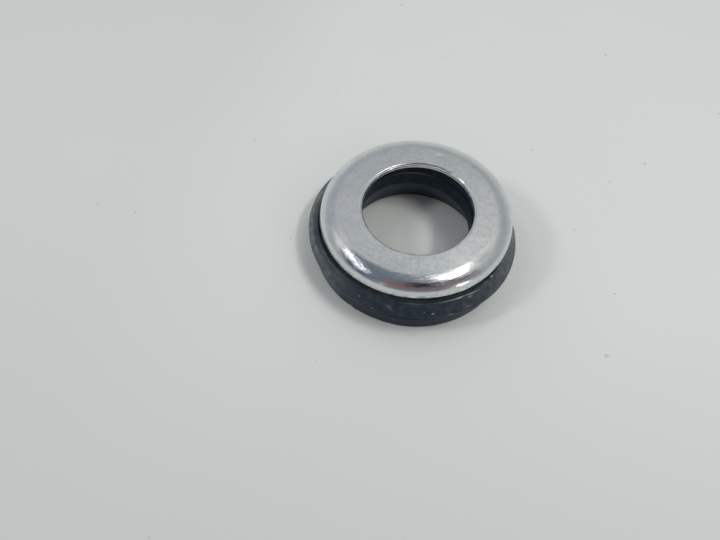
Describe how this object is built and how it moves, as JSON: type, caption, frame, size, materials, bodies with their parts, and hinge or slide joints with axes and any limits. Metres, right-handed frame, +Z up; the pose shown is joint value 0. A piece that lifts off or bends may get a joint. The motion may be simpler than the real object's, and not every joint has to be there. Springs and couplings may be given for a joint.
{
  "type": "parking sensor seal",
  "caption": "Soft black ring seal with a panel groove and a flared bore, dressed with a pressed chrome trim cap that sits slightly askew.",
  "frame": {"origin": "centre of the ring's foot, on the surface it stands on", "axes": "+Z up along the ring's axis, out of the panel's face; +Y away from the viewer's side"},
  "size_m": [0.0356, 0.0356, 0.011],
  "materials": {
    "trim_plating": "bright plating, finely pitted satin on the flat face and polished on the shoulder",
    "seal_rubber": "moulded black rubber, dusty and lightly scuffed"
  },
  "bodies": {
    "root": {"trim_cap": "trim_plating", "seal_ring": "seal_rubber"}
  },
  "joints": []
}
